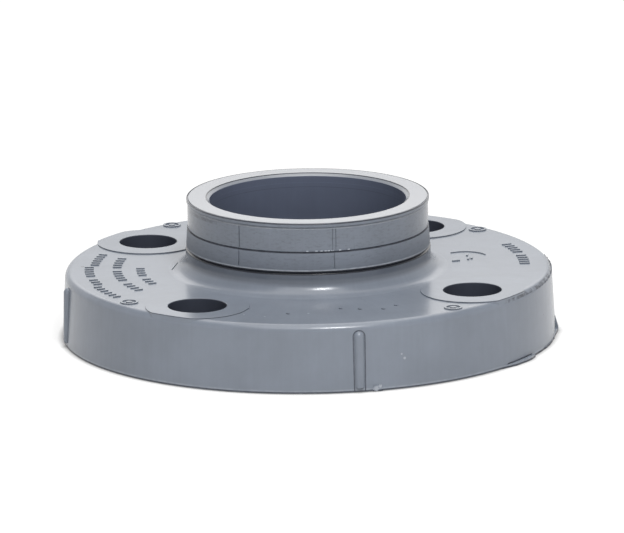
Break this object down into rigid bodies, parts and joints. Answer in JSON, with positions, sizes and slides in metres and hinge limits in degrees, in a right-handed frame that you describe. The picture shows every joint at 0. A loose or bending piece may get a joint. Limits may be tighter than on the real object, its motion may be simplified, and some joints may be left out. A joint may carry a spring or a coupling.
{
  "type": "socket flange",
  "caption": "Round one-piece pipe flange with a raised hub, a cement socket for the pipe and bolt holes with raised pads.",
  "frame": {"origin": "centre of the bore on the gasket face", "axes": "+Z along the bore from the gasket face to the hub's mouth; the rim's two ribs lie on -X and -Y and the bolt holes midway between the axes"},
  "size_m": [0.1532, 0.1532, 0.0435],
  "materials": {
    "grey_pvc": "bluish grey moulded PVC, satin, mirror-like at grazing angles"
  },
  "bodies": {
    "root": {"flange_body": "grey_pvc"}
  },
  "joints": []
}
